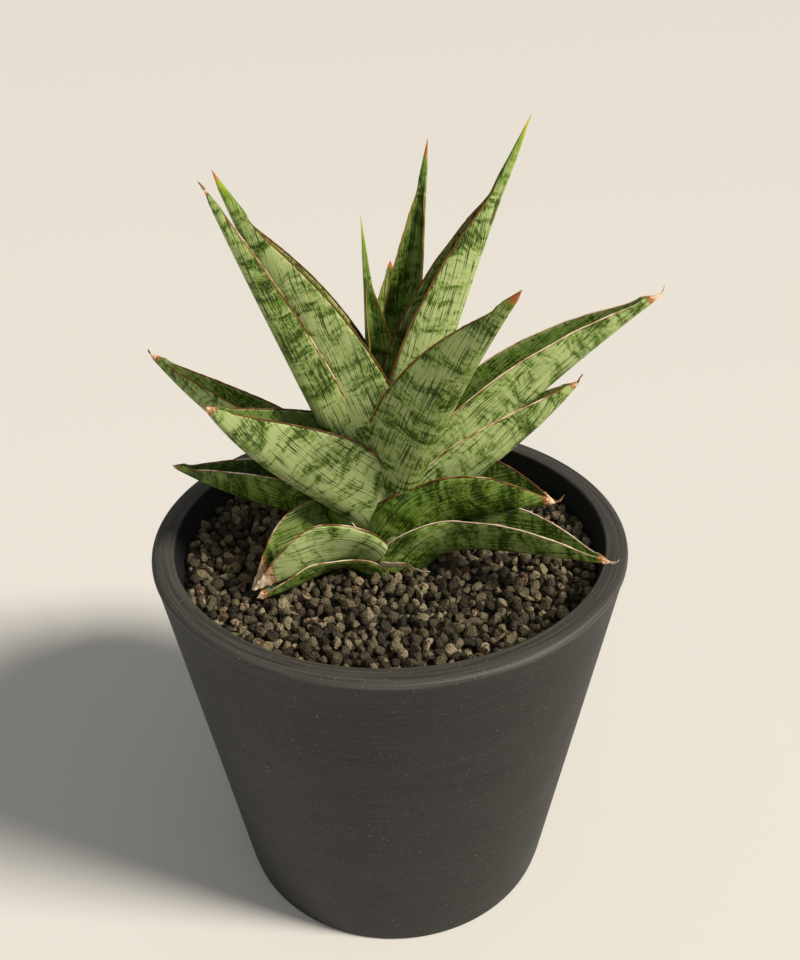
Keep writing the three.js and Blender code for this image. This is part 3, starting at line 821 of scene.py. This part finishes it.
def margin_tree(material):
    """Geometry Nodes: a bead of varying thickness swept along the leaves' margins."""
    tree, given, result = new_geometry_tree(
        "horny margin", [("Bead radius", "NodeSocketFloat"), ("Unevenness", "NodeSocketFloat")]
    )
    where = node(tree, "GeometryNodeInputPosition")
    wave = node(tree, "ShaderNodeTexNoise", {"Vector": where, "Scale": 1 / (1.6 * MM), "Detail": 3.0})
    swing = node(tree, "ShaderNodeMath", {0: wave, 1: 0.5}, operation="SUBTRACT")
    uneven = node(
        tree, "ShaderNodeMath", {0: swing, 1: given.outputs["Unevenness"], 2: 1.0}, operation="MULTIPLY_ADD"
    )
    taper = node(tree, "GeometryNodeInputRadius")
    size = node(tree, "ShaderNodeMath", {0: uneven, 1: taper}, operation="MULTIPLY")
    sized = node(tree, "GeometryNodeSetCurveRadius", {"Curve": given.outputs["Geometry"], "Radius": size})
    inputs = {"Resolution": 8, "Radius": given.outputs["Bead radius"]}
    ring = node(tree, "GeometryNodeCurvePrimitiveCircle", inputs)
    inputs = {"Curve": sized, "Profile Curve": ring, "Scale": size, "Fill Caps": True}
    swept = node(tree, "GeometryNodeCurveToMesh", inputs)
    real = node(tree, "GeometryNodeRealizeInstances", {"Geometry": swept})
    painted = node(tree, "GeometryNodeSetMaterial", {"Geometry": real, "Material": material})
    tree.links.new(painted.outputs[0], result.inputs["Geometry"])
    return tree


def margin_curves(leaf, shape):
    """A leaf's two margins as a curve object, thinner towards the tip, and its dried thread."""
    curve = bpy.data.curves.new(leaf.node + "_margin", "CURVE")
    curve.dimensions = "3D"
    taper_mm = 10.0
    for line in shape.margins:
        spline = curve.splines.new("POLY")
        spline.points.add(len(line) - 1)
        for dot, (point, along) in zip(spline.points, line):
            dot.co = (*(point * MM), 1.0)
            dot.radius = 0.35 + 0.65 * smooth((line[-1][1] - along) / taper_mm)
    if leaf.thread:
        steps = 14
        inside_mm = 0.6  # how far within the tip the thread starts
        spline = curve.splines.new("POLY")
        spline.points.add(steps - 1)
        point, heading = shape.points[-1] - shape.heading * inside_mm, shape.heading
        for i, dot in enumerate(spline.points):
            dot.co = (*(point * MM), 1.0)
            dot.radius = 1.8 - 1.3 * i / steps
            bend = (waver(i * 0.31, leaf.toward, 61), waver(i * 0.27, leaf.toward, 62), 0.12)
            heading = heading + 0.5 * np.array(bend)
            heading = heading / np.linalg.norm(heading)
            point = point + heading * (leaf.thread + inside_mm) / steps
    return curve


def papery_scale():
    """The dried end of the lowest sheath, a crumpled strip lying on the grit in front of the crown."""
    sides, stations = 8, 24
    start, end = np.array([-3.0, -19.0]), np.array([12.0, -21.0])  # millimetres, from above
    lift, sag, half, thick = 2.6, 0.6, 1.5, 0.12  # above the grit, and the strip's own sizes
    points = []
    for i in range(stations):
        u = i / stations
        x, y = start + (end - start) * u
        y += 0.6 * waver(u * 5, 0.0, 71)
        z = grit_height_mm(x, y) + lift - sag * u + 0.5 * waver(u * 7, 0.0, 72)
        width = half * (1 - u) ** 0.6 * (1 + 0.5 * waver(u * 9, 0.0, 73))
        for j in range(sides):
            angle = 2 * math.pi * j / sides
            rise = width * math.cos(angle)
            crease = 0.35 * waver(u * 12, math.cos(angle) * 1.5, 74)
            points.append((x, y - rise * 0.5, z + rise + thick * math.sin(angle) + crease))
    points.append((*end, grit_height_mm(*end) + lift - sag))
    mesh = bpy.data.meshes.new("papery_scale")
    mesh.from_pydata(np.array(points) * MM, [], skin_faces(sides, stations))
    mesh.flip_normals()
    shade_smooth(mesh)
    return mesh


def set_age(mesh, age):
    """Stores how dried a horny piece is, for its material."""
    worn = mesh.attributes.new("margin_age", "FLOAT", "POINT")
    worn.data.foreach_set("value", [age] * len(mesh.vertices))


class SNAKEPLANT_OT_leaves(Operator):
    """Build the leaves: folded blades on round sheaths, each with its horny margin"""

    bl_idname = "snakeplant.leaves"
    bl_label = "Leaves"

    def execute(self, context):
        """Make every leaf and its margin, and replace the plain leaf solids."""
        look = context.scene.snakeplant_leaf
        green, horn = leaf_material(look), margin_material(look)
        tree = margin_tree(horn)
        for age, leaf in enumerate(LEAVES):
            shape = leaf_shape(leaf, age, look.thickness / MM)
            blade = add_object(leaf.node + "_blade", leaf_mesh(leaf, shape, age), green)
            settle(blade, "leaf", leaf.node)
            bead = add_object(leaf.node + "_margin", margin_curves(leaf, shape))
            use_tree(bead, tree, {"Bead radius": look.bead, "Unevenness": 0.9})
            bead = apply_modifiers(bead)
            set_age(bead.data, leaf.worn)
            shade_smooth(bead.data)
            settle(bead, "leaf")
        scale = add_object("papery_scale", papery_scale(), horn)
        set_age(scale.data, 0.9)
        settle(scale, "leaf")
        return {"FINISHED"}


# ---------------------------------------------------------------- grit
MOUND_MM, MOUND_RADIUS_MM = 5.5, 50.0  # the grit is heaped against the plant
UNEVEN_MM = 0.9  # the surface's waves
GRIT_RINGS, GRIT_SEGMENTS = 30, 90  # divisions of its surface
CORE_RADIUS_MM, CORE_SINK_MM, CORE_FLOOR_MM = 66.0, 4.2, 8.6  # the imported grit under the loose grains
LOOSE_LAYERS = (("grit_loose_grains", 65.2, 1.2), ("grit_under_grains", 64.6, 3.4))  # radius, depth, mm
GRAIN_SHAPES, GRAIN_CUTS = 10, 7  # how many shapes there are, and planes that cut each


def grit_height_mm(x, y):
    """Height of the grit's surface: a slight mound at the plant and the unevenness of loose grains."""
    mound = MOUND_MM * (1 - smooth(math.hypot(x - PLANT_MM[0], y - PLANT_MM[1]) / MOUND_RADIUS_MM))
    ripple = math.sin(0.31 * x + 1.3) * math.cos(0.27 * y - 0.6) + 0.5 * math.sin(0.71 * x - 0.53 * y)
    return GRIT_TOP_MM + mound + UNEVEN_MM * ripple / 1.5


def grit_disc(name, radius_mm, sink_mm):
    """The grit's surface as an open disc, to scatter grains on."""
    rings, segments = GRIT_RINGS, GRIT_SEGMENTS
    points = [(0.0, 0.0, grit_height_mm(0, 0) - sink_mm)]
    for i in range(1, rings + 1):
        for j in range(segments):
            angle, r = 2 * math.pi * j / segments, radius_mm * i / rings
            x, y = r * math.cos(angle), r * math.sin(angle)
            points.append((x, y, grit_height_mm(x, y) - sink_mm))
    faces = [(0, 1 + j, 1 + (j + 1) % segments) for j in range(segments)]
    for i in range(rings - 1):
        a, b = 1 + i * segments, 1 + (i + 1) * segments
        for j in range(segments):
            k = (j + 1) % segments
            faces.append((a + j, b + j, b + k, a + k))
    mesh = bpy.data.meshes.new(name)
    mesh.from_pydata([tuple(c * MM for c in p) for p in points], [], faces)
    return mesh


def grain_mesh(index):
    """One broken grain of unit radius: a ball cut by a few planes and roughened."""
    rng = np.random.default_rng(100 + index)
    planes = rng.normal(size=(GRAIN_CUTS, 3))
    planes /= np.linalg.norm(planes, axis=1)[:, None]
    cuts = rng.uniform(0.42, 0.78, GRAIN_CUTS)  # how far from the middle each plane lies
    mesh = bpy.data.meshes.new(f"grain_{index}")
    directions, faces = ball()
    points = []
    for direction in directions:
        facing = planes @ direction
        reach = min([1.0] + [cut / f for cut, f in zip(cuts, facing) if f > 0.2])
        points.append(direction * (reach + 0.06 * waver(*(direction[:2] * 2.1), index + direction[2])))
    stretch = rng.uniform((0.85, 0.75, 0.65), (1.15, 1.0, 0.9))
    mesh.from_pydata(np.array(points) * stretch, [], faces)
    return mesh


def ball():
    """Directions and faces of an 80-faced ball."""
    golden = (1 + 5**0.5) / 2
    corners = [(a, b * golden, 0) for a in (-1, 1) for b in (-1, 1)]
    corners += [(0, a, b * golden) for a in (-1, 1) for b in (-1, 1)]
    corners += [(b * golden, 0, a) for a in (-1, 1) for b in (-1, 1)]
    points = [np.array(c) / np.linalg.norm(c) for c in corners]
    side = min(np.linalg.norm(points[0] - p) for p in points[1:]) * 1.01
    faces = []
    for i, j, k in combinations(range(12), 3):
        a, b = points[j] - points[i], points[k] - points[i]
        if max(np.linalg.norm(a), np.linalg.norm(b), np.linalg.norm(a - b)) < side:
            faces.append((i, j, k) if np.dot(np.cross(a, b), points[i]) > 0 else (i, k, j))
    middles, fine = {}, []

    def middle(i, j):
        key = (min(i, j), max(i, j))
        if key not in middles:
            middles[key] = len(points)
            half = points[i] + points[j]
            points.append(half / np.linalg.norm(half))
        return middles[key]

    for i, j, k in faces:
        a, b, c = middle(i, j), middle(j, k), middle(k, i)
        fine += [(i, a, c), (a, j, b), (c, b, k), (a, b, c)]
    return points, fine


def scatter_tree(material):
    """Geometry Nodes: grains of a few shapes strewn over a surface, turned and sized at random."""
    tree, given, result = new_geometry_tree(
        "strewn grains",
        [
            ("Grains", "NodeSocketCollection"),
            ("Keep clear of", "NodeSocketObject"),
            ("Clearance", "NodeSocketFloat"),
            ("Spacing", "NodeSocketFloat"),
            ("Smallest", "NodeSocketFloat"),
            ("Largest", "NodeSocketFloat"),
            ("Seed", "NodeSocketInt"),
        ],
    )
    strewn = node(
        tree,
        "GeometryNodeDistributePointsOnFaces",
        {
            "Mesh": given.outputs["Geometry"],
            "Distance Min": given.outputs["Spacing"],
            "Density Max": 400000.0,
            "Seed": given.outputs["Seed"],
        },
        distribute_method="POISSON",
    )
    leaves = node(tree, "GeometryNodeObjectInfo", {"Object": given.outputs["Keep clear of"]})
    gap = node(tree, "GeometryNodeProximity", {0: leaves.outputs["Geometry"]}, target_element="FACES")
    inputs = {"A": gap.outputs["Distance"], "B": given.outputs["Clearance"]}
    close = node(tree, "FunctionNodeCompare", inputs, data_type="FLOAT", operation="LESS_THAN")
    inputs = {"Geometry": strewn.outputs["Points"], "Selection": close}
    free = node(tree, "GeometryNodeDeleteGeometry", inputs, domain="POINT")
    inputs = {"Collection": given.outputs["Grains"], "Separate Children": True, "Reset Children": True}
    shapes = node(tree, "GeometryNodeCollectionInfo", inputs)
    inputs = {"Max": (2 * math.pi,) * 3, "Seed": 3}
    turn = node(tree, "FunctionNodeRandomValue", inputs, data_type="FLOAT_VECTOR")
    inputs = {"Min": given.outputs["Smallest"], "Max": given.outputs["Largest"], "Seed": 5}
    size = node(tree, "FunctionNodeRandomValue", inputs, data_type="FLOAT")
    inputs = {"Points": free, "Instance": shapes, "Pick Instance": True, "Rotation": turn, "Scale": size}
    grains = node(tree, "GeometryNodeInstanceOnPoints", inputs)
    tint = node(tree, "FunctionNodeRandomValue", {"Seed": 11}, data_type="FLOAT")
    inputs = {"Geometry": grains, "Name": "grain_tint", "Value": tint}
    marked = node(tree, "GeometryNodeStoreNamedAttribute", inputs, data_type="FLOAT", domain="INSTANCE")
    real = node(tree, "GeometryNodeRealizeInstances", {"Geometry": marked})
    painted = node(tree, "GeometryNodeSetMaterial", {"Geometry": real, "Material": material})
    tree.links.new(painted.outputs[0], result.inputs["Geometry"])
    return tree


def grit_core(name, pot):
    """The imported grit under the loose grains: closed, filling the pot down to its floor."""
    disc = grit_disc(name, CORE_RADIUS_MM, CORE_SINK_MM)
    points = [tuple(v.co) for v in disc.vertices]
    faces = [tuple(p.vertices) for p in disc.polygons]
    bpy.data.meshes.remove(disc)
    slope = (pot.rim_radius - pot.foot_radius) / pot.height
    low_radius = CORE_RADIUS_MM - slope * (GRIT_TOP_MM - CORE_FLOOR_MM)
    low = len(points)
    rim = low - GRIT_SEGMENTS
    for j in range(GRIT_SEGMENTS):
        angle, k = 2 * math.pi * j / GRIT_SEGMENTS, (j + 1) % GRIT_SEGMENTS
        place = (low_radius * math.cos(angle), low_radius * math.sin(angle), CORE_FLOOR_MM)
        points.append(tuple(c * MM for c in place))
        faces.append((rim + k, rim + j, low + j, low + k))
    faces.append(tuple(low + j for j in reversed(range(GRIT_SEGMENTS))))
    mesh = bpy.data.meshes.new(name)
    mesh.from_pydata(points, [], faces)
    shade_smooth(mesh, 40)
    return mesh


class SNAKEPLANT_OT_grit(Operator):
    """Build the lava grit: a packed core with two layers of loose grains on it"""

    bl_idname = "snakeplant.grit"
    bl_label = "Lava grit"

    def execute(self, context):
        """Strew the grains round the leaves, and replace the plain grit solid."""
        look = context.scene.snakeplant_grit
        material = grit_material(look)
        core = add_object("grit_core", grit_core("grit_core", context.scene.snakeplant_pot), material)
        settle(core, "grit", "grit_bed")
        bpy.context.view_layer.update()
        samples = [bpy.data.objects.new(f"grain_{i}", grain_mesh(i)) for i in range(GRAIN_SHAPES)]
        kinds = bpy.data.collections.new("grain shapes")
        for sample in samples:
            kinds.objects.link(sample)
        guard = leaf_guard()
        tree = scatter_tree(material)
        for layer, (name, radius, depth) in enumerate(LOOSE_LAYERS):
            piece = add_object(name, grit_disc(name, radius, depth))
            values = {
                "Grains": kinds,
                "Keep clear of": guard,
                "Clearance": look.clear,
                "Spacing": look.spacing,
                "Smallest": look.small,
                "Largest": look.large,
                "Seed": look.seed + layer,
            }
            use_tree(piece, tree, values)
            apply_modifiers(piece)
            settle(piece, "grit")
        discard(guard, *samples)
        bpy.data.collections.remove(kinds)
        return {"FINISHED"}


def leaf_guard():
    """A copy of all the leaf blades as one object, for the grains to keep clear of."""
    points, faces = [], []
    for piece in bpy.data.objects:
        if piece.name.endswith("_blade"):
            start = len(points)
            points += [tuple(v.co) for v in piece.data.vertices]
            faces += [tuple(start + i for i in p.vertices) for p in piece.data.polygons]
    mesh = bpy.data.meshes.new("leaf_guard")
    mesh.from_pydata(points, [], faces)
    return add_object("leaf_guard", mesh)


# ---------------------------------------------------------------- under the surface
class SNAKEPLANT_OT_underground(Operator):
    """Finish the rhizome, the roots and the drain meshes"""

    bl_idname = "snakeplant.underground"
    bl_label = "Roots and drain mesh"

    def execute(self, context):
        """Give the hidden pieces their materials."""
        corky = plain_material("rhizome_corky_grown", "#8A5A2A", "#C08A48", 0.8, 1.5, 0.25)
        fleshy = plain_material("root_fleshy_grown", "#A98450", "#D8BC8A", 0.75, 0.8, 0.12)
        knit = plain_material("polyethylene_mesh_moulded", "#171717", "#222222", 0.55, 0.5, 0.03)
        finishes = {"rhizome": corky, "root_": fleshy, "drain_mesh_": knit}
        for name, piece in frame["nodes"].items():
            for prefix, material in finishes.items():
                if name.startswith(prefix):
                    piece.data.materials.clear()
                    piece.data.materials.append(material)
        return {"FINISHED"}


# ---------------------------------------------------------------- stage
CAMERA_DISTANCE = 0.321  # from the middle of the rim
CAMERA_ELEVATION = 32.5  # of the camera above the rim's level, degrees
CAMERA_AIM = (0.73, -2.7, -0.8)  # how far it is turned aside, tilted and rolled, degrees
CAMERA_LENS, CAMERA_SENSOR = 37.5, 36.0  # millimetres
LIGHTS_AIM = Vector((0, 0, 0.14))  # just above the middle of the rim
FLOOR_HALF = 12.0


def add_camera():
    """A camera in front of the pot, looking down at the plant."""
    up_angle = math.radians(CAMERA_ELEVATION)
    aside, tilt, roll = (math.radians(a) for a in CAMERA_AIM)
    rim_middle = Vector((0, 0, POT_HIGH.z))
    eye = rim_middle + Vector((0, -math.cos(up_angle), math.sin(up_angle))) * CAMERA_DISTANCE
    pitch = up_angle + tilt
    ahead = Vector(
        (math.sin(aside) * math.cos(pitch), math.cos(aside) * math.cos(pitch), -math.sin(pitch))
    )
    level = ahead.cross(Vector((0, 0, 1))).normalized()
    above = level.cross(ahead)
    right = level * math.cos(roll) + above * math.sin(roll)
    top = above * math.cos(roll) - level * math.sin(roll)
    data = bpy.data.cameras.new("camera")
    data.lens = CAMERA_LENS
    data.sensor_width = CAMERA_SENSOR
    data.clip_start = 0.01
    camera = bpy.data.objects.new("camera", data)
    camera.matrix_world = Matrix((right, top, -ahead)).transposed().to_4x4()
    camera.location = eye
    bpy.context.scene.collection.objects.link(camera)
    bpy.context.scene.camera = camera


def add_light(name, kind, place, energy, softness, tint):
    """A light at a place, turned to the plant. Softness is an area's side or a sun's angle."""
    data = bpy.data.lights.new(name, kind)
    if kind == "SUN":
        data.angle = softness
    else:
        data.size = softness
    data.energy = energy
    data.color = linear(tint)[:3]
    light = bpy.data.objects.new(name, data)
    light.location = place
    light.rotation_euler = (LIGHTS_AIM - Vector(place)).to_track_quat("-Z", "Y").to_euler()
    bpy.context.scene.collection.objects.link(light)


class SNAKEPLANT_OT_stage(Operator):
    """Build the stage: a plain pale floor, soft lights and the camera"""

    bl_idname = "snakeplant.stage"
    bl_label = "Stage"

    def execute(self, context):
        """Add the floor, the lights, the sky and the camera."""
        stage = context.scene.snakeplant_stage
        mesh = bpy.data.meshes.new("floor")
        corners = [(x * FLOOR_HALF, y * FLOOR_HALF, 0) for x, y in ((-1, -1), (1, -1), (1, 1), (-1, 1))]
        mesh.from_pydata(corners, [], [(0, 1, 2, 3)])
        material, tree = new_material("floor_painted")
        finish_material(tree, base_color=tuple(stage.floor), roughness=0.8)
        add_object("floor", mesh, material)
        add_camera()
        add_light("key", "SUN", (0.9, -0.36, 0.98), stage.key, math.radians(14), "#FFF8EC")
        add_light("fill", "AREA", (-0.05, -0.8, 0.75), stage.fill, 0.5, "#FFFFFF")
        world = bpy.data.worlds.new("studio")
        world.use_nodes = True
        background = world.node_tree.nodes["Background"]
        background.inputs["Color"].default_value = linear("#FFFFFF")
        background.inputs["Strength"].default_value = stage.sky
        context.scene.world = world
        context.scene.view_settings.view_transform = "Standard"
        return {"FINISHED"}


# ---------------------------------------------------------------- panel and registration
OPERATORS = (
    SNAKEPLANT_OT_stage,
    SNAKEPLANT_OT_pot,
    SNAKEPLANT_OT_leaves,
    SNAKEPLANT_OT_grit,
    SNAKEPLANT_OT_underground,
)
SETTINGS = {
    "snakeplant_pot": SNAKEPLANT_PG_pot,
    "snakeplant_grit": SNAKEPLANT_PG_grit,
    "snakeplant_leaf": SNAKEPLANT_PG_leaf,
    "snakeplant_stage": SNAKEPLANT_PG_stage,
}


class SNAKEPLANT_PT_sidebar(Panel):
    """Lists the builders and their settings."""

    bl_idname = "SNAKEPLANT_PT_sidebar"
    bl_label = "Snake plant"
    bl_space_type = "VIEW_3D"
    bl_region_type = "UI"
    bl_category = "Snake plant"

    def draw(self, context):
        """Draw one button per builder and one line per setting."""
        for operator in OPERATORS:
            self.layout.operator(operator.bl_idname)
        for name, group in SETTINGS.items():
            box = self.layout.box()
            for key in group.__annotations__:
                box.prop(getattr(context.scene, name), key)


def register():
    """Register the settings, the operators and the panel."""
    for group in SETTINGS.values():
        bpy.utils.register_class(group)
    for name, group in SETTINGS.items():
        setattr(bpy.types.Scene, name, PointerProperty(type=group))
    for operator in OPERATORS:
        bpy.utils.register_class(operator)
    bpy.utils.register_class(SNAKEPLANT_PT_sidebar)


def unregister():
    """Take everything off again."""
    bpy.utils.unregister_class(SNAKEPLANT_PT_sidebar)
    for operator in reversed(OPERATORS):
        bpy.utils.unregister_class(operator)
    for name, group in SETTINGS.items():
        delattr(bpy.types.Scene, name)
        bpy.utils.unregister_class(group)


def main():
    """Build everything in order."""
    register()
    bpy.ops.snakeplant.stage()
    bpy.ops.snakeplant.pot()
    bpy.ops.snakeplant.leaves()
    bpy.ops.snakeplant.grit()
    bpy.ops.snakeplant.underground()


if __name__ == "__main__":
    main()
